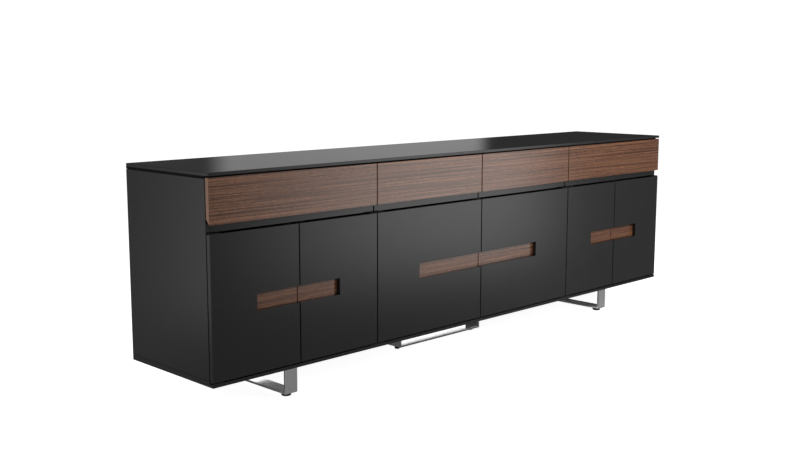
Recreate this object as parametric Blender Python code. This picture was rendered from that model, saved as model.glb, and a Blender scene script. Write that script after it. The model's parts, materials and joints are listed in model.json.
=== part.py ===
"""Long low credenza: four drawers over six doors, standing on three flat-bar legs.

Metres, +Z up, the front faces -Y, and the origin is on the floor below the middle of the body.
"""

from math import cos, pi, radians, sin

import bmesh
import bpy
from mathutils import Matrix

# Overall sizes
LENGTH = 2.400
HEIGHT = 0.748
END_BAY = 0.670  # each outer bay; the two inner bays share the rest

# Boards
BOARD = 0.018  # top, bottom, sides, partitions and shelves
DIVIDER = 0.021
FRONT = 0.016  # doors and drawer fronts
BACK = 0.008
NOSE = 0.0105  # front edge of the top and bottom panels
ARRIS = 0.0008  # chamfer along the edges of boards and bars

# Set-backs from the front plane
CARCASS_SETBACK = 0.018  # front edges of the sides, partitions and dividers
SHELF_SETBACK = 0.070

# Gaps
FIT = 0.0003  # between pieces that touch
SEAM = 0.001  # height of the shadow line between the side panels and the top
SEAM_DEPTH = 0.004
FRONT_GAP = 0.004  # between neighbouring fronts, and under the doors
DRAWER_GAP = 0.0045  # above the drawer fronts
DRAWER_REVEAL = 0.002  # between the drawer fronts and the dividers
DOOR_GAP = 0.003  # between the doors and the dividers
END_MARGIN = 0.001  # fronts to the ends of the body
RAIL_SLOT = 0.0045  # between the front edges of neighbouring dividers
RAIL_LIP = 0.005  # dividers where they pass in front of the partitions
PULL_CLEARANCE = 0.0015  # pulls to the partition behind them

# Recessed pulls
PULL_HEIGHT = 0.054
PULL_DROP = 0.002  # below the middle of the doors
END_PULL = 0.167  # half length, on the outer pairs of doors
MIDDLE_PULL = 0.327  # half length, on the middle pair
PULL_DEPTH = 0.0145  # front plane to the face of the pull
PULL_LIP = 0.015  # overlap behind the door
PULL_BACKING = 0.0045  # thickness behind the door

# Pivot hinges
PIVOT_EDGE = 0.0055  # axis to the outer edge of the door
PIVOT_FRONT = 0.0048  # axis to the front plane
PIN_RADIUS = 0.002
PIN_REACH = 0.008  # into the door
BORE_PLAY = 0.0003  # round a pin, stud or stem
BORE_REST = 0.0015  # past the end of a pin, stud or stem
PLATE = 0.002
PLATE_FRONT = 0.001  # front plane to the plates
PLATE_END = 0.003  # outer plates to the ends of the body
PLATE_WING = 0.022  # past the face of the panel that it straddles
PLATE_REACH = 0.040  # wings behind the front edge of that panel

# Drawers
DRAWER_FRONT = 0.139  # height of the front
FINGER_RISE = 0.018  # rise of the bevel under the front
BOX_WALL = 0.012
BOX_FLOOR = 0.008
BOX_LENGTH = 0.385
BOX_BEHIND = 0.0354  # room between the box and the back
BOX_PLAY = 0.006  # box to the panels beside it
BOX_LIFT = 0.003  # box to the divider below
BOX_HEADROOM = 0.005  # box to the top panel
BOX_SKIRT = 0.012  # walls below the floor of the box
RUNNER_WIDTH = 0.022
RUNNER_LENGTH = 0.360
RUNNER_PLAY = 0.001  # runner to the walls of the box
TIE = 0.002
TIE_WIDTH = 0.030

# Shelves
HOUSING = 0.005  # depth of the grooves that hold the shelf ends

# Legs
LEG_DROP = 0.0985  # body to the underside of the bar
END_BAR_WIDTH = 0.050
MIDDLE_BAR_WIDTH = 0.068
BAR = 0.008
END_LEG_SETBACK = 0.050  # from the front plane and from the back
MIDDLE_LEG = 0.450  # length along the body
MIDDLE_LEG_SHIFT = 0.009  # behind the middle of the body
LEG_PLATE = 0.004
LEG_PLATE_MARGIN = 0.015  # past each side of the bar
STUD_RADIUS = 0.004
STUD_REACH = 0.011  # into the bottom panel
STUD_INSET = 0.028  # from the ends of the plate
STUD_EDGE = 0.012  # from the long sides of the plate
GLIDE_HEIGHT = 0.012
GLIDE_CHAMFER = 0.003
END_GLIDE_RADIUS = 0.0165
END_GLIDE_INSET = 0.027  # axis to the outer face of the leg
MIDDLE_GLIDE_RADIUS = 0.0105
MIDDLE_GLIDE_INSET = 0.0185
STEM_RADIUS = 0.004
STEM_REACH = 0.004  # into the bar

# Facets round a pin and round a glide
PIN_SIDES = 16
GLIDE_SIDES = 32

# Places across the depth, which comes from the drawers
DEPTH = FRONT + FIT + BOX_LENGTH + BOX_BEHIND + FIT + BACK
FRONT_Y = -DEPTH / 2
BACK_Y = DEPTH / 2
FRONT_BACK_Y = FRONT_Y + FRONT
CARCASS_Y = FRONT_Y + CARCASS_SETBACK
INNER_BACK_Y = BACK_Y - BACK - FIT
PIVOT_Y = FRONT_Y + PIVOT_FRONT

# Levels above the floor
BODY_BOTTOM = GLIDE_HEIGHT + LEG_DROP
CUPBOARD_FLOOR = BODY_BOTTOM + BOARD
DOOR_BOTTOM = BODY_BOTTOM + NOSE + FRONT_GAP
CEILING = HEIGHT - BOARD
DRAWER_TOP = HEIGHT - NOSE - DRAWER_GAP
DRAWER_BOTTOM = DRAWER_TOP - DRAWER_FRONT
DIVIDER_TOP = DRAWER_BOTTOM - DRAWER_REVEAL
DIVIDER_BOTTOM = DIVIDER_TOP - DIVIDER
DOOR_TOP = DIVIDER_BOTTOM - DOOR_GAP
SHELF_BOTTOM = (CUPBOARD_FLOOR + DIVIDER_BOTTOM - BOARD) / 2
PULL_BOTTOM = (DOOR_BOTTOM + DOOR_TOP - PULL_HEIGHT) / 2 - PULL_DROP
PULL_TOP = PULL_BOTTOM + PULL_HEIGHT

# Places along the length: the edges of the four bays and of the six doors
END_X = LENGTH / 2
BAY_EDGES = (-END_X, END_BAY - END_X, 0.0, END_X - END_BAY, END_X)
DOOR_EDGES = (
    -END_X,
    END_BAY / 2 - END_X,
    END_BAY - END_X,
    0.0,
    END_X - END_BAY,
    END_X - END_BAY / 2,
    END_X,
)

# Half lengths of the pulls on the three pairs of doors
PULLS = (END_PULL, MIDDLE_PULL, END_PULL)

# Legs: name, axis that the width of the bar lies along, centre in plan, half length of the loop,
# width of the bar, and the glides' radius and inset
END_LEG_X = END_X - END_BAY / 2
END_LEG_HALF = DEPTH / 2 - END_LEG_SETBACK
END_GLIDE = (END_GLIDE_RADIUS, END_GLIDE_INSET)
MIDDLE_GLIDE = (MIDDLE_GLIDE_RADIUS, MIDDLE_GLIDE_INSET)
LEGS = (
    ("left", "X", (-END_LEG_X, 0.0), END_LEG_HALF, END_BAR_WIDTH, END_GLIDE),
    ("middle", "Y", (0.0, MIDDLE_LEG_SHIFT), MIDDLE_LEG / 2, MIDDLE_BAR_WIDTH, MIDDLE_GLIDE),
    ("right", "X", (END_LEG_X, 0.0), END_LEG_HALF, END_BAR_WIDTH, END_GLIDE),
)


def clear_scene():
    for obj in list(bpy.data.objects):
        bpy.data.objects.remove(obj)


def make_material(name, colour, roughness, metallic=0.0):
    material = bpy.data.materials.new(name)
    material.use_nodes = True
    shader = material.node_tree.nodes["Principled BSDF"]
    shader.inputs["Base Color"].default_value = (*colour, 1.0)
    shader.inputs["Roughness"].default_value = roughness
    shader.inputs["Metallic"].default_value = metallic
    return material


def add_object(name, bm, material=None, parent=None):
    """Turn world-space geometry into an object whose origin is its parent's."""
    bmesh.ops.recalc_face_normals(bm, faces=bm.faces)
    if parent:
        bmesh.ops.translate(bm, verts=bm.verts, vec=-parent.location)
    mesh = bpy.data.meshes.new(name)
    bm.to_mesh(mesh)
    bm.free()
    obj = bpy.data.objects.new(name, mesh)
    obj.parent = parent
    if material:
        mesh.materials.append(material)
    bpy.context.scene.collection.objects.link(obj)
    return obj


def add_axis(name, place):
    """An empty on the axis of a moving piece."""
    empty = bpy.data.objects.new(name, None)
    empty.location = place
    empty.empty_display_size = 0.05
    bpy.context.scene.collection.objects.link(empty)
    return empty


def add_prism(bm, axis, outline, low, high):
    """Extrude an outline along X, Y or Z; its points are the other two coordinates in order."""
    along = "XYZ".index(axis)

    def place(point, level):
        coords = list(point)
        coords.insert(along, level)
        return bm.verts.new(coords)

    start = [place(point, low) for point in outline]
    end = [place(point, high) for point in outline]
    bm.faces.new(start)
    bm.faces.new(end)
    for i, corner in enumerate(start):
        bm.faces.new((start[i - 1], corner, end[i], end[i - 1]))


def rectangle(left, right, bottom, top):
    return [(left, bottom), (right, bottom), (right, top), (left, top)]


def prism(name, axis, outline, low, high, material, parent=None, arris=ARRIS):
    """An extruded outline whose outer corners are chamfered and whose inner corners stay square."""
    bm = bmesh.new()
    add_prism(bm, axis, outline, low, high)
    bmesh.ops.recalc_face_normals(bm, faces=bm.faces)
    weight = bm.edges.layers.float.new("bevel_weight_edge")
    for edge in bm.edges:
        edge[weight] = 1.0 if edge.is_convex else 0.0
    obj = add_object(name, bm, material, parent)
    if arris:
        bevel = obj.modifiers.new("arris", "BEVEL")
        bevel.width = arris
        bevel.segments = 1
        bevel.limit_method = "WEIGHT"
    return obj


def board(name, xs, ys, zs, material, parent=None, arris=ARRIS):
    return prism(name, "Z", rectangle(*xs, *ys), *zs, material, parent, arris)


def join_tool(obj, bm, operation):
    """Cut or join the tool's geometry with a Boolean; the tool itself stays hidden."""
    tool = add_object(obj.name + "_" + operation.lower(), bm, parent=obj.parent)
    tool.hide_render = True
    tool.display_type = "WIRE"
    boolean = obj.modifiers.new(operation.lower(), "BOOLEAN")
    boolean.operation = operation
    boolean.object = tool


def rounds(places, radius, low, high):
    """Upright cylinders in one mesh."""
    bm = bmesh.new()
    for x, y in places:
        middle = Matrix.Translation((x, y, (low + high) / 2))
        bmesh.ops.create_cone(
            bm,
            cap_ends=True,
            segments=PIN_SIDES,
            radius1=radius,
            radius2=radius,
            depth=high - low,
            matrix=middle,
        )
    return bm


def turned(name, place, profile, material):
    """Turn a closed profile of radius and height pairs round an upright axis."""
    bm = bmesh.new()
    rings = []
    for radius, height in profile:
        turns = [2 * pi * i / GLIDE_SIDES for i in range(GLIDE_SIDES)]
        rings.append([bm.verts.new((radius * cos(a), radius * sin(a), height)) for a in turns])
    bm.faces.new(rings[0])
    bm.faces.new(rings[-1])
    for lower, upper in zip(rings, rings[1:]):
        for i in range(GLIDE_SIDES):
            bm.faces.new((lower[i - 1], lower[i], upper[i], upper[i - 1]))
    obj = add_object(name, bm, material)
    obj.location = place
    obj.data.shade_smooth()
    obj.data.set_sharp_from_angle(angle=radians(40))
    return obj


def bay_faces(bay):
    """The faces of the panels on the two sides of a bay."""
    left = BAY_EDGES[bay] + (BOARD if bay == 0 else BOARD / 2)
    right = BAY_EDGES[bay + 1] - (BOARD if bay == len(BAY_EDGES) - 2 else BOARD / 2)
    return left, right


def front_span(edges, index):
    """The side edges of a door or drawer front."""
    left = edges[index] + (END_MARGIN if index == 0 else FRONT_GAP / 2)
    right = edges[index + 1] - (END_MARGIN if index == len(edges) - 2 else FRONT_GAP / 2)
    return left, right


def build_top_and_bottom(lacquer):
    top = [
        (FRONT_Y, HEIGHT),
        (FRONT_Y, HEIGHT - NOSE),
        (CARCASS_Y, HEIGHT - NOSE),
        (CARCASS_Y, CEILING),
        (BACK_Y, CEILING),
        (BACK_Y, HEIGHT),
    ]
    prism("top_panel", "X", top, -END_X, END_X, lacquer)
    bottom = [
        (FRONT_Y, BODY_BOTTOM),
        (BACK_Y, BODY_BOTTOM),
        (BACK_Y, CUPBOARD_FLOOR),
        (CARCASS_Y, CUPBOARD_FLOOR),
        (CARCASS_Y, BODY_BOTTOM + NOSE),
        (FRONT_Y, BODY_BOTTOM + NOSE),
    ]
    panel = prism("bottom_panel", "X", bottom, -END_X, END_X, lacquer)
    studs = [stud for leg in LEGS for stud in stud_places(leg)]
    bore_top = BODY_BOTTOM + STUD_REACH + BORE_REST
    join_tool(panel, rounds(studs, STUD_RADIUS + BORE_PLAY, BODY_BOTTOM - BOARD, bore_top), "DIFFERENCE")


def notch(low, high, rear):
    """Points that cut back the front edge of an upright, from the top down."""
    return [(CARCASS_Y, high), (rear, high), (rear, low), (CARCASS_Y, low)]


def build_uprights(lacquer):
    """Side panels with a shadow line at the top, and notched partitions; both are grooved for the shelves."""
    names = (
        "side_panel_left",
        "partition_left",
        "partition_centre",
        "partition_right",
        "side_panel_right",
    )
    for index, name in enumerate(names):
        outer = index in (0, len(names) - 1)
        left = BAY_EDGES[index] - (BOARD / 2 if not outer else BOARD if index else 0)
        far = BACK_Y if outer else INNER_BACK_Y
        foot, head = CUPBOARD_FLOOR + FIT, CEILING - FIT
        outline = [(CARCASS_Y, foot), (far, foot), (far, head), (CARCASS_Y, head)]
        if not outer:
            outline += notch(DIVIDER_BOTTOM - FIT, DIVIDER_TOP + FIT, CARCASS_Y + RAIL_LIP + FIT)
        if BAY_EDGES[index] in DOOR_EDGES[1::2]:
            rear = FRONT_BACK_Y + FIT + PULL_BACKING + PULL_CLEARANCE
            reach = PULL_LIP + PULL_CLEARANCE
            outline += notch(PULL_BOTTOM - reach, PULL_TOP + reach, rear)
        panel = prism(name, "X", outline, left, left + BOARD, lacquer)
        grooves = bmesh.new()
        groove_zs = (SHELF_BOTTOM - FIT, SHELF_BOTTOM + BOARD + FIT)
        groove_ys = (FRONT_Y + SHELF_SETBACK - FIT, INNER_BACK_Y + FIT if outer else BACK_Y)
        sides = [left] * (index > 0) + [left + BOARD] * (index < len(names) - 1)
        for face in sides:
            span = rectangle(face - HOUSING, face + HOUSING, *groove_ys)
            add_prism(grooves, "Z", span, *groove_zs)
        if outer:
            span = rectangle(BAY_EDGES[index] - SEAM_DEPTH, BAY_EDGES[index] + SEAM_DEPTH, -DEPTH, DEPTH)
            add_prism(grooves, "Z", span, CEILING - SEAM, CEILING)
        join_tool(panel, grooves, "DIFFERENCE")


def build_bays(lacquer):
    """A divider and a shelf in each bay, and one back across them all."""
    last = len(BAY_EDGES) - 2
    for bay in range(last + 1):
        left, right = bay_faces(bay)
        divider = [(right - FIT, INNER_BACK_Y), (left + FIT, INNER_BACK_Y)]
        step = CARCASS_Y + RAIL_LIP
        if bay == 0:
            divider += [(left + FIT, CARCASS_Y)]
        else:
            lip = BAY_EDGES[bay] + RAIL_SLOT / 2
            divider += [(left + FIT, step), (lip, step), (lip, CARCASS_Y)]
        if bay == last:
            divider += [(right - FIT, CARCASS_Y)]
        else:
            lip = BAY_EDGES[bay + 1] - RAIL_SLOT / 2
            divider += [(lip, CARCASS_Y), (lip, step), (right - FIT, step)]
        prism(f"divider_{bay + 1}", "Z", divider, DIVIDER_BOTTOM, DIVIDER_TOP, lacquer)
        housed = HOUSING - FIT
        xs = (left - housed, right + housed)
        ys = (FRONT_Y + SHELF_SETBACK, INNER_BACK_Y)
        board(f"shelf_{bay + 1}", xs, ys, (SHELF_BOTTOM, SHELF_BOTTOM + BOARD), lacquer, arris=0)
    inner = END_X - BOARD - FIT
    zs = (CUPBOARD_FLOOR + FIT, CEILING - FIT)
    board("back_panel", (-inner, inner), (BACK_Y - BACK, BACK_Y), zs, lacquer)


def pivot_places(index):
    """Axes of the doors that hang at one of the four uprights that carry doors."""
    edge = DOOR_EDGES[2 * index]
    spans = []
    if index > 0:
        spans.append(front_span(DOOR_EDGES, 2 * index - 1)[1] - PIVOT_EDGE)
    if 2 * index < len(DOOR_EDGES) - 1:
        spans.append(front_span(DOOR_EDGES, 2 * index)[0] + PIVOT_EDGE)
    return edge, [(x, PIVOT_Y) for x in spans]


def build_pivots(steel):
    """Plates with upright pins above and below the doors; the upper ones straddle the uprights."""
    count = len(DOOR_EDGES) // 2 + 1
    for index in range(count):
        edge, pins = pivot_places(index)
        first, last = index == 0, index == count - 1
        low = edge if first else edge - BOARD if last else edge - BOARD / 2
        high = low + BOARD
        left = edge + PLATE_END if first else low - FIT - PLATE_WING
        right = edge - PLATE_END if last else high + FIT + PLATE_WING
        near, step, far = FRONT_Y + PLATE_FRONT, CARCASS_Y - FIT, CARCASS_Y + PLATE_REACH
        outline = [(left, near), (right, near)]
        if not last:
            outline += [(right, far), (high + FIT, far), (high + FIT, step)]
        else:
            outline += [(right, step)]
        if not first:
            outline += [(low - FIT, step), (low - FIT, far), (left, far)]
        else:
            outline += [(left, step)]
        plate_top = DIVIDER_BOTTOM - FIT
        upper = prism(f"top_pivot_{index + 1}", "Z", outline, plate_top - PLATE, plate_top, steel, arris=0)
        join_tool(upper, rounds(pins, PIN_RADIUS, DOOR_TOP - PIN_REACH, plate_top - PLATE / 2), "UNION")
        ledge = BODY_BOTTOM + NOSE + FIT
        span = rectangle(left, right, near, step)
        lower = prism(f"bottom_pivot_{index + 1}", "Z", span, ledge, ledge + PLATE, steel, arris=0)
        join_tool(lower, rounds(pins, PIN_RADIUS, ledge + PLATE / 2, DOOR_BOTTOM + PIN_REACH), "UNION")


def build_doors(lacquer, walnut):
    """Doors in pairs that meet at a recessed pull; each turns on pins near its outer edge."""
    for index in range(len(DOOR_EDGES) - 1):
        left, right = front_span(DOOR_EDGES, index)
        opens_right = index % 2 == 0
        outer, free = (left, right) if opens_right else (right, left)
        inward = 1 if opens_right else -1
        meeting = DOOR_EDGES[index + 1] if opens_right else DOOR_EDGES[index]
        pull_end = meeting - inward * PULLS[index // 2]
        axis_x = outer + inward * PIVOT_EDGE
        axis = add_axis(f"door_{index + 1}_axis", (axis_x, PIVOT_Y, 0))
        outline = [
            (outer, DOOR_BOTTOM),
            (free, DOOR_BOTTOM),
            (free, PULL_BOTTOM),
            (pull_end, PULL_BOTTOM),
            (pull_end, PULL_TOP),
            (free, PULL_TOP),
            (free, DOOR_TOP),
            (outer, DOOR_TOP),
        ]
        door = prism(f"door_{index + 1}", "Y", outline, FRONT_Y, FRONT_BACK_Y, lacquer, axis)
        reach = PIN_REACH + BORE_REST
        for level in (DOOR_BOTTOM, DOOR_TOP):
            bore = rounds([(axis_x, PIVOT_Y)], PIN_RADIUS + BORE_PLAY, level - reach, level + reach)
            join_tool(door, bore, "DIFFERENCE")
        face, back = FRONT_Y + PULL_DEPTH, FRONT_BACK_Y + FIT
        rear = back + PULL_BACKING
        low, high = PULL_BOTTOM + FIT, PULL_TOP - FIT
        section = [
            (face, low),
            (face, high),
            (back, high),
            (back, high + PULL_LIP),
            (rear, high + PULL_LIP),
            (rear, low - PULL_LIP),
            (back, low - PULL_LIP),
            (back, low),
        ]
        ends = sorted((pull_end + inward * FIT, free))
        prism(f"pull_{index + 1}", "X", section, *ends, walnut, axis, arris=0)


def build_drawers(walnut, lining, steel):
    """Each drawer is a box behind a front with a finger bevel, on a pair of tied runners."""
    for bay in range(len(BAY_EDGES) - 1):
        middle = (BAY_EDGES[bay] + BAY_EDGES[bay + 1]) / 2
        slide = add_axis(f"drawer_{bay + 1}_slide", (middle, FRONT_Y, DIVIDER_TOP))
        section = [
            (FRONT_Y, DRAWER_BOTTOM),
            (FRONT_Y, DRAWER_TOP),
            (FRONT_BACK_Y, DRAWER_TOP),
            (FRONT_BACK_Y, DRAWER_BOTTOM + FINGER_RISE),
        ]
        prism(f"drawer_front_{bay + 1}", "X", section, *front_span(BAY_EDGES, bay), walnut, slide)
        left, right = bay_faces(bay)
        left += BOX_PLAY
        right -= BOX_PLAY
        near = FRONT_BACK_Y + FIT
        far = near + BOX_LENGTH
        low, high = DIVIDER_TOP + BOX_LIFT, CEILING - BOX_HEADROOM
        floor = low + BOX_SKIRT
        box = board(f"drawer_box_{bay + 1}", (left, right), (near, far), (low, high), lining, slide, arris=0)
        inside = rectangle(left + BOX_WALL, right - BOX_WALL, near + BOX_WALL, far - BOX_WALL)
        hollow = bmesh.new()
        add_prism(hollow, "Z", inside, floor + BOX_FLOOR, high + BOX_WALL)
        join_tool(box, hollow, "DIFFERENCE")
        under = rectangle(left + BOX_WALL, right - BOX_WALL, near + BOX_WALL, far + BOX_WALL)
        channel = bmesh.new()
        add_prism(channel, "Z", under, low - BOX_WALL, floor)
        join_tool(box, channel, "DIFFERENCE")
        first = left + BOX_WALL + RUNNER_PLAY
        second = right - BOX_WALL - RUNNER_PLAY
        runner_front = near + BOX_WALL + RUNNER_PLAY
        ys = (runner_front, runner_front + RUNNER_LENGTH)
        zs = (DIVIDER_TOP + FIT, floor - FIT)
        runner = board(f"drawer_runner_{bay + 1}", (first, first + RUNNER_WIDTH), ys, zs, steel, arris=0)
        others = bmesh.new()
        add_prism(others, "Z", rectangle(second - RUNNER_WIDTH, second, *ys), *zs)
        join_tool(runner, others, "UNION")
        tie = bmesh.new()
        lap = RUNNER_WIDTH / 2
        tie_ys = (ys[1] - 2 * TIE_WIDTH, ys[1] - TIE_WIDTH)
        add_prism(tie, "Z", rectangle(first + lap, second - lap, *tie_ys), zs[0], zs[0] + TIE)
        join_tool(runner, tie, "UNION")


def leg_point(leg, along, across):
    """A plan point given along the loop and across its bar."""
    axis, (x, y) = leg[1], leg[2]
    return (x + across, y + along) if axis == "X" else (x + along, y + across)


def stud_places(leg):
    along = leg[3] - STUD_INSET
    across = leg[4] / 2 + LEG_PLATE_MARGIN - STUD_EDGE
    return [leg_point(leg, a * along, c * across) for a in (-1, 1) for c in (-1, 1)]


def build_legs(chrome, steel, plastic):
    """Loops of flat bar under steel plates, on round glides."""
    for leg in LEGS:
        name, axis, centre, half, width, (radius, inset) = leg
        plate_top = BODY_BOTTOM - FIT
        plate_bottom = plate_top - LEG_PLATE
        low, high = GLIDE_HEIGHT, plate_bottom - FIT
        loop = [
            (-half, low),
            (half, low),
            (half, high),
            (half - BAR, high),
            (half - BAR, low + BAR),
            (BAR - half, low + BAR),
            (BAR - half, high),
            (-half, high),
        ]
        across, start = centre if axis == "X" else reversed(centre)
        outline = [(along + start, level) for along, level in loop]
        bar = prism(f"leg_{name}", axis, outline, across - width / 2, across + width / 2, chrome)
        feet = [leg_point(leg, side * (half - inset), 0.0) for side in (-1, 1)]
        stem_top = low + STEM_REACH
        join_tool(bar, rounds(feet, STEM_RADIUS + BORE_PLAY, -low, stem_top + BORE_REST), "DIFFERENCE")
        reach = width / 2 + LEG_PLATE_MARGIN
        corners = [leg_point(leg, -half, -reach), leg_point(leg, half, reach)]
        xs, ys = zip(*corners)
        plate = board(f"leg_plate_{name}", xs, ys, (plate_bottom, plate_top), steel, arris=0)
        studs = rounds(stud_places(leg), STUD_RADIUS, plate_bottom + LEG_PLATE / 2, BODY_BOTTOM + STUD_REACH)
        join_tool(plate, studs, "UNION")
        ends = ("front", "back") if axis == "X" else ("left", "right")
        profile = [
            (radius - GLIDE_CHAMFER, 0.0),
            (radius, GLIDE_CHAMFER),
            (radius, low - FIT),
            (STEM_RADIUS, low - FIT),
            (STEM_RADIUS, stem_top),
        ]
        for end, (x, y) in zip(ends, feet):
            turned(f"glide_{name}_{end}", (x, y, 0), profile, plastic)


clear_scene()
charcoal = make_material("charcoal_lacquer", (0.032, 0.032, 0.033), 0.35)
walnut = make_material("walnut_veneer", (0.150, 0.095, 0.070), 0.45)
chrome = make_material("polished_chrome", (0.62, 0.62, 0.63), 0.10, 1.0)
steel = make_material("black_steel", (0.025, 0.025, 0.026), 0.45, 0.8)
grey_board = make_material("grey_box_board", (0.19, 0.19, 0.18), 0.60)
plastic = make_material("black_plastic", (0.012, 0.012, 0.012), 0.55)
build_top_and_bottom(charcoal)
build_uprights(charcoal)
build_bays(charcoal)
build_pivots(steel)
build_doors(charcoal, walnut)
build_drawers(walnut, grey_board, steel)
build_legs(chrome, steel, plastic)
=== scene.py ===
import json
import math

import bpy
import numpy as np
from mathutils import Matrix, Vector


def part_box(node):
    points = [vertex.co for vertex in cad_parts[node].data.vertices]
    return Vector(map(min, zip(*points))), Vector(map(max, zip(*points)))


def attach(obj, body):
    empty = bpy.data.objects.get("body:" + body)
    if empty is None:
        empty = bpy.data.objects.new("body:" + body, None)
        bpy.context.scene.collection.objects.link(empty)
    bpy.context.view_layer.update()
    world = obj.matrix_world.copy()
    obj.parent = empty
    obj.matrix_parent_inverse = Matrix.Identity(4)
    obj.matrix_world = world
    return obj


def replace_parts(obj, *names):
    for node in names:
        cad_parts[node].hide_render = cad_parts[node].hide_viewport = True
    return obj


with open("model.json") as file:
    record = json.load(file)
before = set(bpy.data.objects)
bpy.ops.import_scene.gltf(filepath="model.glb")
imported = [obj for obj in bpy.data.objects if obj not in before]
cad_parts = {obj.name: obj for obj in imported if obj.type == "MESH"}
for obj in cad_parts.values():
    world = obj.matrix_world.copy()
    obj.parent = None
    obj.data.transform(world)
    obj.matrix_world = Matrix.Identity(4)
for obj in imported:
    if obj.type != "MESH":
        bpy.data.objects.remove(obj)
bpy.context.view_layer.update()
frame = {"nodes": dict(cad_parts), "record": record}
nodes = frame["nodes"]
print("frame loaded:", len(nodes), "nodes")


# one node with its settings; sockets go by name, or by number as i0, i1 and so on; a value that is a socket is linked,
# any other is set
def addNode(tree, kind, settings=None, **sockets):
    node = tree.nodes.new(kind)
    for name, value in (settings or {}).items():
        setattr(node, name, value)
    for name, value in sockets.items():
        socket = node.inputs[int(name[1:])] if name[1:].isdigit() else node.inputs[name]
        if isinstance(value, bpy.types.NodeSocket):
            tree.links.new(value, socket)
        else:
            socket.default_value = value
    return node


# arithmetic on values or sockets
def calc(tree, operation, *values, clamp=False):
    sockets = {f"i{i}": value for i, value in enumerate(values)}
    return addNode(tree, "ShaderNodeMath", {"operation": operation, "use_clamp": clamp}, **sockets).outputs[0]


# value carried from one range to another, with soft ends unless told otherwise
def ramp(tree, value, fromLow, fromHigh, toLow=0.0, toHigh=1.0, soft=True):
    kind = {"interpolation_type": "SMOOTHSTEP" if soft else "LINEAR"}
    sockets = {"i0": value, "i1": fromLow, "i2": fromHigh, "i3": toLow, "i4": toHigh}
    return addNode(tree, "ShaderNodeMapRange", kind, **sockets).outputs[0]


# two colours mixed by a share
def blendColours(tree, share, first, second):
    mix = tree.nodes.new("ShaderNodeMix")
    mix.data_type = "RGBA"
    sockets = [s for s in mix.inputs if s.enabled]
    for socket, value in zip(sockets, (share, first, second)):
        if isinstance(value, bpy.types.NodeSocket):
            tree.links.new(value, socket)
        else:
            socket.default_value = value if isinstance(value, float) else (*value, 1.0)
    return [s for s in mix.outputs if s.enabled][0]


# noise on object coordinates in metres; the cells per metre are one number, or one for each axis
def grainNoise(tree, cells, detail=2.0, roughness=0.5, shift=(0.0, 0.0, 0.0), place=None):
    place = place or addNode(tree, "ShaderNodeTexCoord").outputs["Object"]
    cells = cells if isinstance(cells, tuple) else (cells, cells, cells)
    mapping = addNode(tree, "ShaderNodeMapping", Vector=place, Scale=cells, Location=shift)
    noise = addNode(
        tree, "ShaderNodeTexNoise", Vector=mapping.outputs[0], Scale=1.0, Detail=detail, Roughness=roughness,
    )
    return noise.outputs["Fac"]


# share that rises to 1 along the outer edges: 1 minus the dot product of the rounded and the flat normal; it masks the
# paler edges, which are partly painted highlight
def edgeShare(tree, reach, strength):
    rounded = addNode(tree, "ShaderNodeBevel", {"samples": 4}, Radius=reach).outputs[0]
    flat = addNode(tree, "ShaderNodeNewGeometry").outputs["Normal"]
    dot = addNode(tree, "ShaderNodeVectorMath", {"operation": "DOT_PRODUCT"}, i0=rounded, i1=flat).outputs["Value"]
    return calc(tree, "MULTIPLY", calc(tree, "SUBTRACT", 1.0, dot), strength, clamp=True)


# fine relief in the shader's normal
def addBump(tree, shader, height, strength, depth):
    bump = addNode(tree, "ShaderNodeBump", Strength=strength, Distance=depth, Height=height)
    tree.links.new(bump.outputs[0], shader.inputs["Normal"])


# darker or paler copy of a colour
def scaled(colour, share):
    return tuple(c * share for c in colour)


# new material, its tree and its usual shader
def newMaterial(name):
    material = bpy.data.materials.new(name)
    material.use_nodes = True
    tree = material.node_tree
    return material, tree, tree.nodes["Principled BSDF"]


noiseSpan = (0.3, 0.7)  # most values of a noise lie between these

lacquerLook = {
    "colour": (0.0108, 0.0108, 0.0110),
    "cloudCells": 2.2, "cloudShade": 0.94,  # faint darker clouds
    "wearAndSheen": (0.020, 0.020, 0.0205), "sheenReach": 0.0012, "sheenGain": 2.0,  # paler along the edges: partly wear, partly painted highlight
    "rubCells": 14.0, "rubSpan": (0.35, 0.65), "rubLeast": 0.25,  # the paler edges, wear and painted highlight, vary along their length
    "roughness": (0.130, 0.142),
    "peelCells": 650.0, "peelDepth": 0.000004, "peelGain": 0.35,  # orange peel of the sprayed coat
}
topLook = {**lacquerLook, "shadeBelow": 0.7377, "noseShade": (0.003, 0.003, 0.003)}  # painted shade: under the nose the board is near black and matt
boardLook = {
    **lacquerLook, "colour": (0.028, 0.028, 0.0285), "wearAndSheen": (0.036, 0.036, 0.0365),
    "roughness": (0.50, 0.58), "peelDepth": 0.00002,
}


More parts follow.
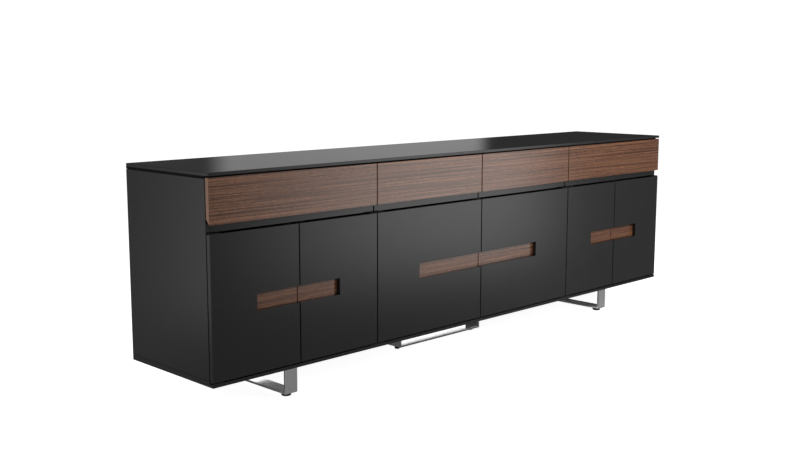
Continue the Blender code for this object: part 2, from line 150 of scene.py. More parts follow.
# satin charcoal lacquer: sprayed coat with faint clouds, fine orange peel and paler edges, partly wear and partly
# painted highlight
def makeLacquer(name, look):
    material, tree, shader = newMaterial(name)
    clouds = grainNoise(tree, look["cloudCells"], detail=3.0)
    rubbed = grainNoise(tree, look["rubCells"], detail=4.0, roughness=0.6, shift=(3.0, 1.0, 2.0))
    # painted highlight and wear: the colour turns paler along the edges
    edge = edgeShare(tree, look["sheenReach"], look["sheenGain"])
    wearAndSheen = calc(tree, "MULTIPLY", edge, ramp(tree, rubbed, *look["rubSpan"], look["rubLeast"], 1.0))
    dark = scaled(look["colour"], look["cloudShade"])
    base = blendColours(tree, ramp(tree, clouds, *noiseSpan), dark, look["colour"])
    base = blendColours(tree, wearAndSheen, base, look["wearAndSheen"])
    rough = ramp(tree, rubbed, *noiseSpan, *look["roughness"])
    # painted shade under the nose: below this height the colour turns near black and fully rough
    if "shadeBelow" in look:
        place = addNode(tree, "ShaderNodeTexCoord").outputs["Object"]
        height = addNode(tree, "ShaderNodeSeparateXYZ", Vector=place).outputs[2]
        noseShade = calc(tree, "LESS_THAN", height, look["shadeBelow"])
        base = blendColours(tree, noseShade, base, look["noseShade"])
        rough = calc(tree, "MAXIMUM", rough, noseShade)
    tree.links.new(base, shader.inputs["Base Color"])
    tree.links.new(rough, shader.inputs["Roughness"])
    peel = grainNoise(tree, look["peelCells"], detail=1.0)
    addBump(tree, shader, peel, look["peelGain"], look["peelDepth"])
    return material


walnutLook = {
    "pale": (0.262, 0.119, 0.062),
    "middle": (0.143, 0.0585, 0.0282),
    "dark": (0.040, 0.0142, 0.0069),
    "tones": (0.37, 0.50, 0.63),  # figure where the veneer is dark, middle and pale
    "wander": 0.0012,  # how far the lines rise and fall
    "wanderCells": (1.6, 5.0, 5.0), "wanderSpan": (0.2, 0.8),
    "ringPitch": 0.0122,  # from one growth ring to the next
    "unevenness": 12.0,  # how far noise shifts the rings, in radians
    "layers": {
        "bands": {"cells": (0.9, 40.0, 40.0)},
        "streaks": {"cells": (1.5, 360.0, 360.0), "detail": 2.5, "roughness": 0.62, "shift": (7.0, 3.0, 1.0)},
        "fibres": {"cells": (11.0, 1000.0, 1000.0), "roughness": 0.6, "shift": (1.0, 5.0, 9.0)},
        "flecks": {"cells": (75.0, 460.0, 460.0), "roughness": 0.6, "shift": (5.0, 2.0, 7.0)},
        "pores": {"cells": (60.0, 2200.0, 2200.0), "detail": 1.0, "shift": (2.0, 8.0, 4.0)},
        "uneven": {"cells": (0.7, 34.0, 34.0), "shift": (3.0, 6.0, 2.0)},
    },
    "shares": {"streaks": 0.72, "bands": 0.02, "flecks": 0.26, "rings": 0.043},  # of each layer in the figure
    "fibreSpan": (0.40, 0.68), "fibreShade": 0.38,
    "poreSpan": (0.60, 0.72), "poreShare": 0.5, "poreShade": 0.4,
    "endSpan": (0.8, 0.95), "endShare": 0.7,  # paler veneer on faces that look along X
    "rimHighlightReach": 0.0012, "rimHighlightGain": 1.6, "rimHighlightShare": 0.5,  # painted highlight along the edges
    "roughness": (0.085, 0.120), "roughSpan": (0.35, 0.65),
    "gloss": 0.75,  # specular level of the satin seal
    "reliefShare": 0.3, "reliefGain": 0.15, "reliefDepth": 0.00003,
}


# walnut veneer: straight grain along the length, from growth rings over streaks and fibres down to pores; the rings
# are a sine of the height, unevenly spaced, and a slow noise lifts and drops the lines, so that they wander
def makeWalnut(name, look):
    material, tree, shader = newMaterial(name)
    place = addNode(tree, "ShaderNodeTexCoord").outputs["Object"]
    drift = grainNoise(tree, look["wanderCells"], place=place)
    rise = ramp(tree, drift, *look["wanderSpan"], -look["wander"], look["wander"], soft=False)
    lift = addNode(tree, "ShaderNodeCombineXYZ", Z=rise)
    run = addNode(tree, "ShaderNodeVectorMath", {"operation": "ADD"}, i0=place, i1=lift.outputs[0]).outputs[0]
    layers = {key: grainNoise(tree, place=run, **layer) for key, layer in look["layers"].items()}
    spot = addNode(tree, "ShaderNodeSeparateXYZ", Vector=run)
    height = calc(tree, "ADD", spot.outputs[1], spot.outputs[2])
    uneven = calc(tree, "MULTIPLY", layers["uneven"], look["unevenness"])
    turns = calc(tree, "MULTIPLY", height, 2 * math.pi / look["ringPitch"])
    layers["rings"] = calc(tree, "SINE", calc(tree, "ADD", turns, uneven))
    figure, *others = [calc(tree, "MULTIPLY", layers[key], share) for key, share in look["shares"].items()]
    for added in others:
        figure = calc(tree, "ADD", figure, added)
    darkAt, middleAt, paleAt = look["tones"]
    tone = blendColours(tree, ramp(tree, figure, darkAt, middleAt), look["dark"], look["middle"])
    tone = blendColours(tree, ramp(tree, figure, middleAt, paleAt), tone, look["pale"])
    fibre = ramp(tree, layers["fibres"], *look["fibreSpan"], 0.0, look["fibreShade"])
    tone = blendColours(tree, fibre, tone, look["dark"])
    pore = ramp(tree, layers["pores"], *look["poreSpan"])
    poreShare = calc(tree, "MULTIPLY", pore, look["poreShare"])
    tone = blendColours(tree, poreShare, tone, scaled(look["dark"], look["poreShade"]))
    facing = addNode(tree, "ShaderNodeSeparateXYZ", Vector=addNode(tree, "ShaderNodeTexCoord").outputs["Normal"])
    end = ramp(tree, calc(tree, "ABSOLUTE", facing.outputs[0]), *look["endSpan"], 0.0, look["endShare"])
    # painted highlight: the edges turn towards the pale tone
    edge = calc(tree, "MULTIPLY", edgeShare(tree, look["rimHighlightReach"], look["rimHighlightGain"]), look["rimHighlightShare"])
    base = blendColours(tree, calc(tree, "MAXIMUM", edge, end), tone, look["pale"])
    tree.links.new(base, shader.inputs["Base Color"])
    tree.links.new(ramp(tree, figure, *look["roughSpan"], *look["roughness"]), shader.inputs["Roughness"])
    shader.inputs["Specular IOR Level"].default_value = look["gloss"]
    relief = calc(tree, "SUBTRACT", calc(tree, "MULTIPLY", figure, look["reliefShare"]), pore)
    addBump(tree, shader, relief, look["reliefGain"], look["reliefDepth"])
    return material


chromeLook = {
    "colour": (0.88, 0.88, 0.89), "roughness": (0.085, 0.115),
    "smearCells": 24.0, "smearSpan": (0.35, 0.7), "smearShade": 0.95,
    "lineCells": (40.0, 40.0, 900.0), "lineSpan": (0.55, 0.75), "lineHaze": 0.02,  # hairlines
}


# polished bar: faint smears and hairlines left by the polishing wheel
def makeChrome(name, look):
    material, tree, shader = newMaterial(name)
    smears = grainNoise(tree, look["smearCells"], detail=3.0, roughness=0.55)
    lines = grainNoise(tree, look["lineCells"], detail=1.0)
    shader.inputs["Metallic"].default_value = 1.0
    dull = scaled(look["colour"], look["smearShade"])
    base = blendColours(tree, ramp(tree, smears, *look["smearSpan"]), look["colour"], dull)
    tree.links.new(base, shader.inputs["Base Color"])
    hairlines = ramp(tree, lines, *look["lineSpan"], 0.0, look["lineHaze"])
    haze = calc(tree, "ADD", ramp(tree, smears, *noiseSpan, *look["roughness"]), hairlines)
    tree.links.new(haze, shader.inputs["Roughness"])
    return material


plainLook = {"toneCells": 9.0, "toneShade": 0.85, "roughSpread": 0.05, "gritGain": 0.3}
steelLook = {
    **plainLook, "colour": (0.020, 0.020, 0.021), "roughness": 0.45, "metallic": 0.6,
    "gritCells": 900.0, "gritDepth": 0.00001,
}
plasticLook = {
    **plainLook, "colour": (0.010, 0.010, 0.010), "roughness": 0.50, "metallic": 0.0,
    "gritCells": 1200.0, "gritDepth": 0.00002,
}


# painted or moulded surface: fine grit in the bump and a slow change of tone
def makePlain(name, look):
    material, tree, shader = newMaterial(name)
    slow = grainNoise(tree, look["toneCells"], detail=3.0)
    grit = grainNoise(tree, look["gritCells"])
    low = scaled(look["colour"], look["toneShade"])
    shader.inputs["Metallic"].default_value = look["metallic"]
    tree.links.new(blendColours(tree, ramp(tree, slow, *noiseSpan), low, look["colour"]), shader.inputs["Base Color"])
    rough, spread = look["roughness"], look["roughSpread"]
    tree.links.new(ramp(tree, grit, *noiseSpan, rough - spread, rough + spread), shader.inputs["Roughness"])
    addBump(tree, shader, grit, look["gritGain"], look["gritDepth"])
    return material


linenLook = {
    "colour": (0.19, 0.19, 0.185), "valley": 0.78, "crest": 1.12,  # shares of the colour between and on the threads
    "threads": 750.0, "threadStretch": 0.06, "weaveSpan": (0.42, 0.68), "weaveGain": 0.35, "weaveDepth": 0.00003,
    "toneCells": 7.0, "toneShare": 0.2,
    "roughness": 0.55, "roughSpread": 0.06,
}


# linen foil: two stretched noises cross each other as threads
def makeLinen(name, look):
    material, tree, shader = newMaterial(name)
    slow = grainNoise(tree, look["toneCells"], detail=3.0)
    fine, long = look["threads"], look["threads"] * look["threadStretch"]
    along = grainNoise(tree, (long, fine, fine))
    across = grainNoise(tree, (fine, long, long), shift=(4.0, 2.0, 6.0))
    weave = ramp(tree, calc(tree, "MAXIMUM", along, across), *look["weaveSpan"])
    low, high = scaled(look["colour"], look["valley"]), scaled(look["colour"], look["crest"])
    tone = blendColours(tree, weave, low, high)
    shade = blendColours(tree, ramp(tree, slow, *noiseSpan, 0.0, look["toneShare"]), tone, low)
    tree.links.new(shade, shader.inputs["Base Color"])
    rough, spread = look["roughness"], look["roughSpread"]
    tree.links.new(ramp(tree, weave, 0.0, 1.0, rough + spread, rough - spread), shader.inputs["Roughness"])
    addBump(tree, shader, weave, look["weaveGain"], look["weaveDepth"])
    return material


finishes = {
    "charcoal_lacquer": makeLacquer("charcoalLacquer", lacquerLook),
    "walnut_veneer": makeWalnut("walnutVeneer", walnutLook),
    "polished_chrome": makeChrome("polishedChrome", chromeLook),
    "black_steel": makePlain("blackSteel", steelLook),
    "grey_box_board": makeLinen("greyBoxBoard", linenLook),
    "black_plastic": makePlain("blackPlastic", plasticLook),
}
innerBoard = makeLacquer("charcoalBoard", boardLook)  # matt foil on the boards inside
innerNodes = ("partition", "shelf", "back_panel")
topBoard = makeLacquer("charcoalTop", topLook)
print("finishes made:", len(finishes) + 2)

edgeEase = {"weld": 0.00001, "width": 0.0003, "segments": 2, "angle": math.radians(25)}

# CAD nodes keep their shape: loose triangles are joined and their edges eased
for part in frame["record"]["subparts"]:
    piece = nodes[part["node"]]
    piece.data.materials.clear()
    finish = innerBoard if part["node"].startswith(innerNodes) else finishes[part["material_slot"]]
    piece.data.materials.append(topBoard if part["node"] == "top_panel" else finish)
    weld = piece.modifiers.new("join", "WELD")
    weld.merge_threshold = edgeEase["weld"]
    bevel = piece.modifiers.new("ease", "BEVEL")
    bevel.width, bevel.segments = edgeEase["width"], edgeEase["segments"]
    bevel.limit_method, bevel.angle_limit = "ANGLE", edgeEase["angle"]
print("CAD nodes dressed")

fit = 0.0003  # between touching pieces
roundSteps = 4  # points on a small rounding
cornerSteps = 6  # points on a plate's corner
smoothBelow = math.radians(35)  # edges that turn further stay sharp
screwSpin = 2.4  # from one screw's cross to the next


# closed skin over a stack of rings (levels x around x 3): quads between neighbours and a fan at each end, round the
# middle of the end ring or round a given point
def ringSkin(rings, hearts=None):
    levels, around = rings.shape[:2]
    hearts = rings[[0, -1]].mean(axis=1) if hearts is None else hearts
    points = np.concatenate([rings.reshape(-1, 3), hearts])
    turn = np.arange(around)
    after = (turn + 1) % around
    base = np.arange(levels - 1)[:, None] * around
    quads = np.stack([base + turn, base + after, base + around + after, base + around + turn], axis=-1)
    last = (levels - 1) * around
    low = np.stack([after, turn, np.full(around, levels * around)], axis=-1)
    high = np.stack([last + turn, last + after, np.full(around, levels * around + 1)], axis=-1)
    return points, quads.reshape(-1, 4), np.concatenate([low, high])


# part of a circle as pairs, from one angle to another in degrees
def arcPairs(centre, radius, start, end, steps):
    turn = np.radians(np.linspace(start, end, steps))
    return np.array(centre) + radius * np.stack([np.cos(turn), np.sin(turn)], axis=1)


# turned shape: (radius, height) pairs spun about Z
def spunSkin(profile, around):
    radius, height = np.array(profile).T[:, :, None]
    turn = np.linspace(0, 2 * math.pi, around, endpoint=False)
    x, y = radius * np.cos(turn), radius * np.sin(turn)
    return ringSkin(np.stack([x, y, np.broadcast_to(height, x.shape)], axis=-1))


# flat plate: a rounded rectangle raised to its thickness, drawn in by the ease along the upper edge
def plateSkin(width, length, thick, corner, ease):
    rounding = arcPairs((ease, thick - ease), ease, 180, 90, roundSteps)
    drawn = np.concatenate([[[0.0, 0.0]], rounding])  # inset and height
    turn = np.radians(np.linspace(0, 90, cornerSteps) + np.arange(4)[:, None] * 90)
    side = np.array([[1, 1], [-1, 1], [-1, -1], [1, -1]]) * (np.array([width, length]) / 2 - corner)
    reach = (corner - drawn[:, 0])[:, None, None, None]
    flat = side[:, None, :] + reach * np.stack([np.cos(turn), np.sin(turn)], axis=-1)
    flat = flat.reshape(len(drawn), -1, 2)
    height = np.broadcast_to(drawn[:, 1, None, None], flat.shape[:2] + (1,))
    return ringSkin(np.concatenate([flat, height], axis=-1))


screwLook = {
    "rings": (1.0, 1.0, 0.985, 0.94, 0.86, 0.74, 0.66, 0.58, 0.48, 0.36, 0.22, 0.10), "around": 40,
    "sunk": 0.0001,  # how far the rim reaches under the surface
    "arm": 0.13, "reach": 0.60, "depth": 0.75, "soft": 0.10,  # the cross, as shares of the head
}


# pan head: height = tall x root of (1 - share to the sixth) over the radius, less a cross recess with straight arms
def screwSkin(radius, tall, look=screwLook):
    share = np.array(look["rings"])[:, None]
    turn = np.linspace(0, 2 * math.pi, look["around"], endpoint=False)
    x, y = share * np.cos(turn), share * np.sin(turn)
    narrow = np.clip((look["arm"] - np.minimum(abs(x), abs(y))) / look["soft"] + 0.5, 0, 1)
    short = np.clip((look["reach"] - np.maximum(abs(x), abs(y))) / look["soft"] + 0.5, 0, 1)
    z = tall * (np.sqrt(1 - share ** 6) - look["depth"] * narrow * short)
    z[0] = -look["sunk"]
    return ringSkin(np.stack([x * radius, y * radius, z], axis=-1))


# copies of a shape at the given places, its Z turned to a direction, each spun further than the one before
def setAt(skin, direction, places, spin=0.0):
    points, quads, fans = skin
    out = np.array(direction, float)
    side = np.array([0.0, 1.0, 0.0]) if abs(out[0]) > 0.5 else np.array([1.0, 0.0, 0.0])
    turned = np.stack([side, np.cross(out, side), out], axis=1)
    copies = []
    for index, place in enumerate(places):
        c, s = math.cos(index * spin), math.sin(index * spin)
        spun = points @ np.array([[c, s, 0.0], [-s, c, 0.0], [0.0, 0.0, 1.0]])
        copies.append((spun @ turned.T + np.array(place), quads, fans))
    return copies


# screw heads at the given places, their crosses turned one after another
def screwHeads(radius, tall, direction, places):
    return setAt(screwSkin(radius, tall), direction, places, screwSpin)


# new object, linked to the scene
def addObject(name, data):
    added = bpy.data.objects.new(name, data)
    bpy.context.scene.collection.objects.link(added)
    return added


# one piece from several closed skins, on its body and with its slot's finish
def makePiece(name, skins, body, slot):
    starts = np.cumsum([0] + [len(skin[0]) for skin in skins])
    points = np.concatenate([skin[0] for skin in skins])
    quads = np.concatenate([skin[1] + start for skin, start in zip(skins, starts)])
    fans = np.concatenate([skin[2] + start for skin, start in zip(skins, starts)])
    mesh = bpy.data.meshes.new(name)
    mesh.from_pydata(points.tolist(), [], quads.tolist() + fans.tolist())
    mesh.polygons.foreach_set("use_smooth", np.ones(len(mesh.polygons), bool))
    mesh.set_sharp_from_angle(angle=smoothBelow)
    mesh.materials.append(finishes[slot])
    piece = addObject(name, mesh)
    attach(piece, body)
    return piece


# lowest and highest corner of a node as arrays
def nodeBox(node):
    return tuple(np.array(corner, float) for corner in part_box(node))


glideLook = {
    "foot": 0.0048, "footShare": 0.38,  # rounding under the foot, at most this share of the radius
    "groove": (0.0066, 0.0086, 0.0006),  # where it begins and ends, and how deep it is
    "ease": 0.001, "stem": 0.004,
    "footSteps": 10, "easeSteps": 5, "around": 96,  # points on the two roundings and round the wall
}

# turned glides: rounded foot, a grip groove round the wall and a stem into the bar
underBar = nodeBox("leg_left")[0][2] - fit
for node in [name for name in nodes if name.startswith("glide_")]:
    low, high = nodeBox(node)
    radius, tall = (high[0] - low[0]) / 2, high[2]
    foot = min(glideLook["foot"], radius * glideLook["footShare"])
    ease, stem, (begins, ends, deep) = glideLook["ease"], glideLook["stem"], glideLook["groove"]
    profile = np.concatenate([
        arcPairs((radius - foot, foot), foot, -90, 0, glideLook["footSteps"]),
        [(radius, begins), (radius - deep, begins + deep), (radius - deep, ends - deep), (radius, ends)],
        arcPairs((radius - ease, underBar - ease), ease, 0, 90, glideLook["easeSteps"]),
        [(stem, underBar)],
        arcPairs((stem - ease / 2, tall - ease / 2), ease / 2, 0, 90, roundSteps),
    ])
    middle = (low + high) / 2
    turned = setAt(spunSkin(profile, glideLook["around"]), (0, 0, 1), [(middle[0], middle[1], 0.0)])
    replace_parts(makePiece("turned_" + node, turned, "carcass", "black_plastic"), node)

legScrewLook = {"radius": 0.0045, "tall": 0.0022, "fromEnd": 0.028, "besideBar": 0.001}

# screws that hold the leg plates, beside the bars
for name in ("left", "middle", "right"):
    (low, high), (barLow, barHigh) = nodeBox("leg_plate_" + name), nodeBox("leg_" + name)
    along = 1 if high[1] - low[1] > high[0] - low[0] else 0
    step = np.zeros(2)
    step[along] = (high - low)[along] / 2 - legScrewLook["fromEnd"]
    step[1 - along] = (barHigh - barLow)[1 - along] / 2 + legScrewLook["radius"] + legScrewLook["besideBar"]
    middle = (low + high) / 2
    places = [(middle[0] + a * step[0], middle[1] + b * step[1], low[2]) for a in (-1, 1) for b in (-1, 1)]
    heads = screwHeads(legScrewLook["radius"], legScrewLook["tall"], (0, 0, -1), places)
    makePiece("leg_screws_" + name, heads, "carcass", "black_steel")

pivotScrewLook = {
    "radius": 0.0032, "upper": 0.0008, "lower": 0.0004,  # heads above and below the doors
    "wing": 0.011, "plate": 0.002, "upperY": (-0.195, -0.174), "lowerY": -0.2115,
}

# screws of the pivot plates: two in each wing above the doors, one beside each pin below them; the first and the last
# plate have one wing
pivots = sum(name.startswith("top_pivot_") for name in nodes)
for index in range(1, pivots + 1):
    low, high = nodeBox(f"top_pivot_{index}")
    wing = pivotScrewLook["wing"]
    wings = [low[0] + wing] * (index > 1) + [high[0] - wing] * (index < pivots)
    places = [(x, y, high[2] - pivotScrewLook["plate"]) for x in wings for y in pivotScrewLook["upperY"]]
    heads = screwHeads(pivotScrewLook["radius"], pivotScrewLook["upper"], (0, 0, -1), places)
    sill = nodeBox(f"bottom_pivot_{index}")[0][2] + pivotScrewLook["plate"]
    places = [(x, pivotScrewLook["lowerY"], sill) for x in wings]
    heads += screwHeads(pivotScrewLook["radius"], pivotScrewLook["lower"], (0, 0, 1), places)
    makePiece(f"pivot_screws_{index}", heads, "carcass", "black_steel")

catchLook = {
    "x": (-0.890, -0.840, -0.030, 0.030, 0.840, 0.890), "half": 0.015,
    "front": -0.2050, "neck": -0.1935, "back": -0.1900, "rear": -0.1735,  # case, and the flange from neck to rear
    "low": 0.5560, "crown": 0.5672, "flange": 0.0060,  # the case ends below the upper edge of the doors
    "ease": 0.0008, "drawn": 0.0005,  # corner rounding, and how far the ends are drawn in
    "screwY": -0.1818, "screwX": 0.009, "screwRadius": 0.0026, "screwTall": 0.0010,
    "pole": {"width": 0.024, "length": 0.0022, "thick": 0.0003, "corner": 0.0005, "ease": 0.0001},
    "poleZ": (0.5592, 0.5648),
}


# case with a raised flange behind it, carried along X and drawn in at both ends; the profile runs round in Y and Z
def catchSkin(look, ceiling):
    ease, half, drawn = look["ease"], look["half"], look["drawn"]
    front, neck, back, rear = look["front"], look["neck"], look["back"], look["rear"]
    low, crown, under = look["low"], look["crown"], ceiling - look["flange"]
    corners = [
        (front + ease, low + ease, 180, 270), (back - ease, low + ease, 270, 360),
        (back + ease, under - ease, 180, 90), (rear - ease, under + ease, 270, 360),
        (rear - ease, ceiling - ease, 0, 90), (neck + ease, ceiling - ease, 90, 180),
        (neck - ease, crown + ease, 0, -90), (front + ease, crown - ease, 90, 180),
    ]  # middle of each rounding in Y and Z, and its angles
    outline = np.concatenate([arcPairs((y, z), ease, start, end, roundSteps) for y, z, start, end in corners])
    run = np.roll(outline, -1, axis=0) - np.roll(outline, 1, axis=0)
    inward = np.stack([-run[:, 1], run[:, 0]], axis=1) / np.linalg.norm(run, axis=1)[:, None]
    ends = arcPairs((drawn - half, drawn), drawn, 180, 270, roundSteps)  # X and inset, from the end to the full profile
    ends = np.concatenate([ends, ends[::-1] * (-1, 1)])
    rings = outline + ends[:, 1, None, None] * inward
    x = np.broadcast_to(ends[:, 0, None, None], rings.shape[:2] + (1,))
    elbow = ((neck + back) / 2, (under + crown) / 2)
    return ringSkin(np.concatenate([x, rings], axis=-1), np.array([(-half, *elbow), (half, *elbow)]))


# magnetic catches under the dividers, each with two screws and two steel poles towards the door
ceiling = nodeBox("divider_1")[0][2] - fit
shells = setAt(catchSkin(catchLook, ceiling), (0, 0, 1), [(x, 0.0, 0.0) for x in catchLook["x"]])
makePiece("door_catches", shells, "carcass", "black_plastic")
places = [(x, catchLook["front"], z) for x in catchLook["x"] for z in catchLook["poleZ"]]
makePiece("catch_poles", setAt(plateSkin(**catchLook["pole"]), (0, -1, 0), places), "carcass", "polished_chrome")
flange = ceiling - catchLook["flange"]
places = [(x + a * catchLook["screwX"], catchLook["screwY"], flange) for x in catchLook["x"] for a in (-1, 1)]
heads = screwHeads(catchLook["screwRadius"], catchLook["screwTall"], (0, 0, -1), places)
makePiece("catch_screws", heads, "carcass", "black_steel")

strikeLook = {"width": 0.026, "length": 0.011, "thick": 0.0007, "corner": 0.0015, "ease": 0.0003}
rivetLook = {
    "fromMiddle": 0.0085, "around": 24,
    "profile": [(0.0014, -0.0001), (0.0014, 0.0), (0.0011, 0.0002), (0.0005, 0.0003)],  # radius and height
}
pullScrewLook = {"radius": 0.0030, "tall": 0.0009, "fromEnd": 0.025, "fromEdge": 0.0075}

# on the back of each door: a strike plate with two rivets, and the screws in the lips of the pull
for index, x in enumerate(catchLook["x"], 1):
    back, height = nodeBox(f"door_{index}")[1][1], sum(catchLook["poleZ"]) / 2
    strike = setAt(plateSkin(**strikeLook), (0, 1, 0), [(x, back, height)])
    rivets = [(x + a * rivetLook["fromMiddle"], back + strikeLook["thick"], height) for a in (-1, 1)]
    strike += setAt(spunSkin(rivetLook["profile"], rivetLook["around"]), (0, 1, 0), rivets)
    makePiece(f"strike_plate_{index}", strike, f"door_{index}", "polished_chrome")
    low, high = nodeBox(f"pull_{index}")
    inset, edge = pullScrewLook["fromEnd"], pullScrewLook["fromEdge"]
    places = [(x, high[1], z) for x in (low[0] + inset, high[0] - inset) for z in (low[2] + edge, high[2] - edge)]
    heads = screwHeads(pullScrewLook["radius"], pullScrewLook["tall"], (0, 1, 0), places)
    makePiece(f"pull_screws_{index}", heads, f"door_{index}", "black_steel")

frontScrewLook = {"radius": 0.0040, "tall": 0.0006, "wall": 0.012, "fromEnd": 0.060, "fromFloor": (0.045, 0.100)}

# screws through the box into each drawer front
drawers = sum(name.startswith("drawer_box_") for name in nodes)
for index in range(1, drawers + 1):
    low, high = nodeBox(f"drawer_box_{index}")
    inset, wall = frontScrewLook["fromEnd"], low[1] + frontScrewLook["wall"]
    places = [(x, wall, low[2] + z) for x in (low[0] + inset, high[0] - inset) for z in frontScrewLook["fromFloor"]]
    heads = screwHeads(frontScrewLook["radius"], frontScrewLook["tall"], (0, 1, 0), places)
    makePiece(f"front_screws_{index}", heads, f"drawer_{index}", "black_steel")
print("fittings made")

white = (1, 1, 1, 1)


# one face of the stage between four corners
def makeSheet(name, corners):
    mesh = bpy.data.meshes.new(name)
    mesh.from_pydata(corners, [], [(0, 1, 2, 3)])
    return addObject(name, mesh)


# material without the usual shader, and its output
def emptyMaterial(name):
    material, tree, shader = newMaterial(name)
    tree.nodes.remove(shader)
    return material, tree, [n for n in tree.nodes if n.type == "OUTPUT_MATERIAL"][0]


# only reflections see this sheet
def showInReflections(sheet):
    sheet.visible_camera = sheet.visible_diffuse = sheet.visible_transmission = sheet.visible_shadow = False


stageLook = {"floor": 24.0, "drop": 0.0003, "glow": 0.945, "albedo": 0.80}  # the drop is how far it lies under the feet


# pale floor: white to the camera, with only a share of it lit, so that the shadow stays faint
def makeFloor(look):
    half = look["floor"] / 2
    floor = makeSheet("floor", [(-half, -half, 0), (half, -half, 0), (half, half, 0), (-half, half, 0)])
    floor.location.z = -look["drop"]
    material, tree, output = emptyMaterial("paleFloor")
    path = addNode(tree, "ShaderNodeLightPath")
    seen = calc(tree, "MAXIMUM", path.outputs["Is Camera Ray"], path.outputs["Is Transmission Ray"])
    glow = addNode(tree, "ShaderNodeEmission", Color=white, Strength=calc(tree, "MULTIPLY", seen, look["glow"]))
    lit = addNode(tree, "ShaderNodeBsdfDiffuse", Color=(look["albedo"],) * 3 + (1,))
    both = addNode(tree, "ShaderNodeAddShader", i0=glow.outputs[0], i1=lit.outputs[0])
    tree.links.new(both.outputs[0], output.inputs[0])
    floor.data.materials.append(material)
    floor.visible_glossy = False  # reflections see the studio's own lower half


makeFloor(stageLook)

# soft boxes as reflections see them, in degrees: where each begins, is full, begins to fade and ends,
# first by azimuth from +Y towards +X, then by elevation, which falls by the tilt for each degree of azimuth
softBoxes = [
    {"azimuth": (125.0, 129.6, 132.6, 147.2), "elevation": (-13.0, -8.0, 12.0, 24.0), "light": 1.75, "tilt": 0.12},
    {"azimuth": (34.4, 36.0, 49.0, 50.0), "elevation": (0.0, 1.0, 9.0, 16.0), "light": 0.295},
    {"azimuth": (36.0, 45.0, 49.0, 50.0), "elevation": (0.0, 1.0, 9.0, 16.0), "light": 0.045},
    {"azimuth": (5.0, 15.0, 33.0, 37.0), "elevation": (0.0, 1.0, 9.0, 16.0), "light": 0.022},
    {"azimuth": (127.5, 132.0, 142.0, 150.0), "elevation": (-18.0, -14.5, -13.5, -11.0), "light": 0.025},
    {"azimuth": (95.0, 112.0, 127.0, 131.0), "elevation": (-22.0, -17.0, -12.6, -11.2), "light": 0.105},
    {"azimuth": (-76.0, -60.0, -38.5, -29.6), "elevation": (-15.6, -11.6, -9.0, 6.0), "light": 0.74},
    {"azimuth": (-145.0, -131.0, -129.3, -122.3), "elevation": (-14.4, -7.8, 12.0, 24.0), "light": 1.20},
    {"azimuth": (158.0, 172.0, 188.0, 202.0), "elevation": (-26.0, -8.0, 12.0, 24.0), "light": 0.9},
    {"azimuth": (-20.0, -4.0, 28.0, 62.0), "elevation": (-26.0, -9.0, -3.0, 0.0), "light": 0.9},
    {"azimuth": (62.0, 78.0, 88.0, 108.0), "elevation": (-26.0, -8.0, -2.0, 3.0), "light": 0.8},
]
studio = {
    "fill": 0.145,  # soft light from all round
    "below": 0.20, "above": 0.033, "horizon": (-1.5, 1.5),  # what reflections see where there is no soft box
    "ceiling": 0.7, "ceilingRise": (25.0, 60.0),
}


# share of a patch along one measure: rises from where it begins to where it is full, and falls again
def patchShare(tree, value, begins, full, fades, ends):
    return calc(tree, "MULTIPLY", ramp(tree, value, begins, full), ramp(tree, value, fades, ends, 1.0, 0.0))


# world: white to the camera, an even fill for soft light, and a studio with soft boxes for reflections
def makeWorld():
    world = bpy.data.worlds.new("studio")
    bpy.context.scene.world = world
    world.use_nodes = True
    tree = world.node_tree
    tree.nodes.clear()
    direction = addNode(tree, "ShaderNodeTexCoord").outputs["Generated"]
    split = addNode(tree, "ShaderNodeSeparateXYZ", Vector=direction)
    azimuth = calc(tree, "DEGREES", calc(tree, "ARCTAN2", split.outputs[0], split.outputs[1]))
    elevation = calc(tree, "DEGREES", calc(tree, "ARCSINE", split.outputs[2]))
    level = ramp(tree, elevation, *studio["horizon"], studio["below"], studio["above"])
    level = calc(tree, "ADD", level, ramp(tree, elevation, *studio["ceilingRise"], 0.0, studio["ceiling"]))
    for box in softBoxes:
        middle = (box["azimuth"][1] + box["azimuth"][2]) / 2
        turn = calc(tree, "WRAP", calc(tree, "SUBTRACT", azimuth, middle), 180.0, -180.0)
        across = patchShare(tree, turn, *(angle - middle for angle in box["azimuth"]))
        lean = calc(tree, "ADD", elevation, calc(tree, "MULTIPLY", turn, box.get("tilt", 0.0)))
        patch = calc(tree, "MULTIPLY", across, patchShare(tree, lean, *box["elevation"]))
        level = calc(tree, "ADD", level, calc(tree, "MULTIPLY", patch, box["light"]))
    path = addNode(tree, "ShaderNodeLightPath")
    glossy = path.outputs["Is Glossy Ray"]
    seen = calc(tree, "MAXIMUM", path.outputs["Is Camera Ray"], path.outputs["Is Transmission Ray"])
    strength = calc(tree, "MULTIPLY", calc(tree, "SUBTRACT", 1.0, glossy), studio["fill"])
    strength = calc(tree, "ADD", strength, calc(tree, "MULTIPLY", glossy, level))
    strength = calc(tree, "MAXIMUM", strength, seen)
    background = addNode(tree, "ShaderNodeBackground", Color=white, Strength=strength)
    output = addNode(tree, "ShaderNodeOutputWorld")
    tree.links.new(background.outputs[0], output.inputs[0])


makeWorld()

cardLook = {"x": (-0.45, 1.65), "y": 0.95, "z": (0.15, 0.72), "light": 1.3}


# white card low behind the body: the background as the polished legs show it
def makeCard(look):
    (left, right), (low, high), y = look["x"], look["z"], look["y"]
    card = makeSheet("card", [(left, y, low), (right, y, low), (right, y, high), (left, y, high)])
    material, _, shader = newMaterial("whiteCard")
    shader.inputs["Base Color"].default_value = (0, 0, 0, 1)
    shader.inputs["Emission Color"].default_value = white
    shader.inputs["Emission Strength"].default_value = look["light"]
    card.data.materials.append(material)
    showInReflections(card)


makeCard(cardLook)

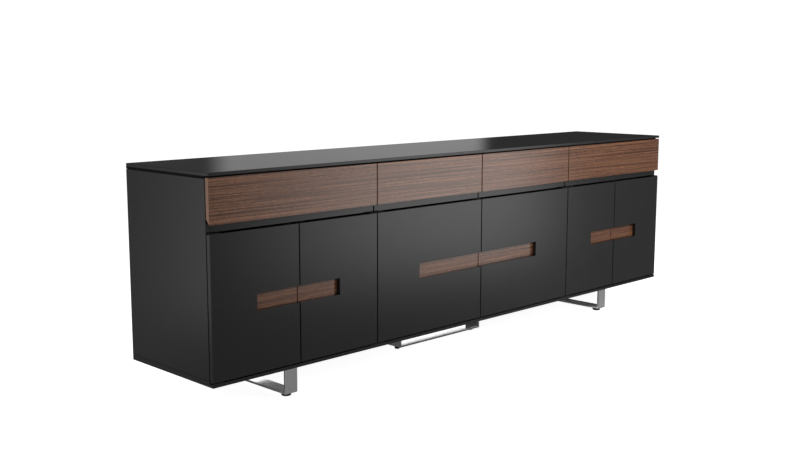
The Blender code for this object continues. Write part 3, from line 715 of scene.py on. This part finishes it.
shadeLook = {"x": (-1.36, -1.16, 1.16, 1.36), "y": (-0.18, -0.06, 0.06, 0.30), "drop": 0.0001, "light": 0.08}


# the body's shadow on the floor as the polished legs show it: clear outside, then dark between soft edges
def makeShade(look):
    (left, _, _, right), (near, _, _, far) = look["x"], look["y"]
    shade = makeSheet("shade", [(left, near, 0), (right, near, 0), (right, far, 0), (left, far, 0)])
    shade.location.z = -look["drop"]
    material, tree, output = emptyMaterial("floorShade")
    place = addNode(tree, "ShaderNodeSeparateXYZ", Vector=addNode(tree, "ShaderNodeTexCoord").outputs["Object"])
    sideways, deep = (patchShare(tree, place.outputs[axis], *look[key]) for axis, key in enumerate("xy"))
    clear = addNode(tree, "ShaderNodeBsdfTransparent").outputs[0]
    dark = addNode(tree, "ShaderNodeEmission", Color=white, Strength=look["light"]).outputs[0]
    mixed = addNode(tree, "ShaderNodeMixShader", i0=calc(tree, "MULTIPLY", sideways, deep), i1=clear, i2=dark)
    tree.links.new(mixed.outputs[0], output.inputs[0])
    shade.data.materials.append(material)
    showInReflections(shade)


makeShade(shadeLook)

lamps = {
    "keyLamp": {"place": (1.0, -2.3, 1.8), "target": (0.8, 0.0, 0.5), "size": 1.6, "watts": 51.0},
    "topLamp": {"place": (0.0, -0.5, 3.2), "target": (0.0, 0.0, 0.5), "size": 2.6, "watts": 42.0},
    "sideLamp": {"place": (-3.6, 0.8, 1.8), "target": (-1.2, 0.0, 0.4), "size": 1.4, "watts": 34.0},
}


# area lamp aimed at a point; the studio shows the soft boxes, so reflections don't see it
def addLamp(name, place, target, size, watts):
    data = bpy.data.lights.new(name, "AREA")
    data.shape, data.size, data.energy = "DISK", size, watts
    lamp = addObject(name, data)
    lamp.location = place
    lamp.rotation_euler = (Vector(target) - Vector(place)).to_track_quat("-Z", "Y").to_euler()
    lamp.visible_camera = lamp.visible_glossy = False


for name, look in lamps.items():
    addLamp(name, **look)

cameraView = {
    "place": (-2.9288, -2.7255, 1.0442), "down": 8.4725, "turn": 44.6051,
    "focal": 1055.4, "width": 785, "sensor": 36.0,  # pixels, pixels and mm
}


# camera at the photo's viewpoint: lens in mm = focal length in pixels x sensor width / image width
def makeCamera(look):
    data = bpy.data.cameras.new("camera")
    data.sensor_fit = "HORIZONTAL"
    data.sensor_width = look["sensor"]
    data.lens = look["focal"] * look["sensor"] / look["width"]
    camera = addObject("camera", data)
    camera.location = look["place"]
    camera.rotation_euler = (math.radians(90 - look["down"]), 0.0, -math.radians(look["turn"]))
    bpy.context.scene.camera = camera


makeCamera(cameraView)
bpy.context.scene.view_settings.view_transform = "Standard"
print("studio and camera made")
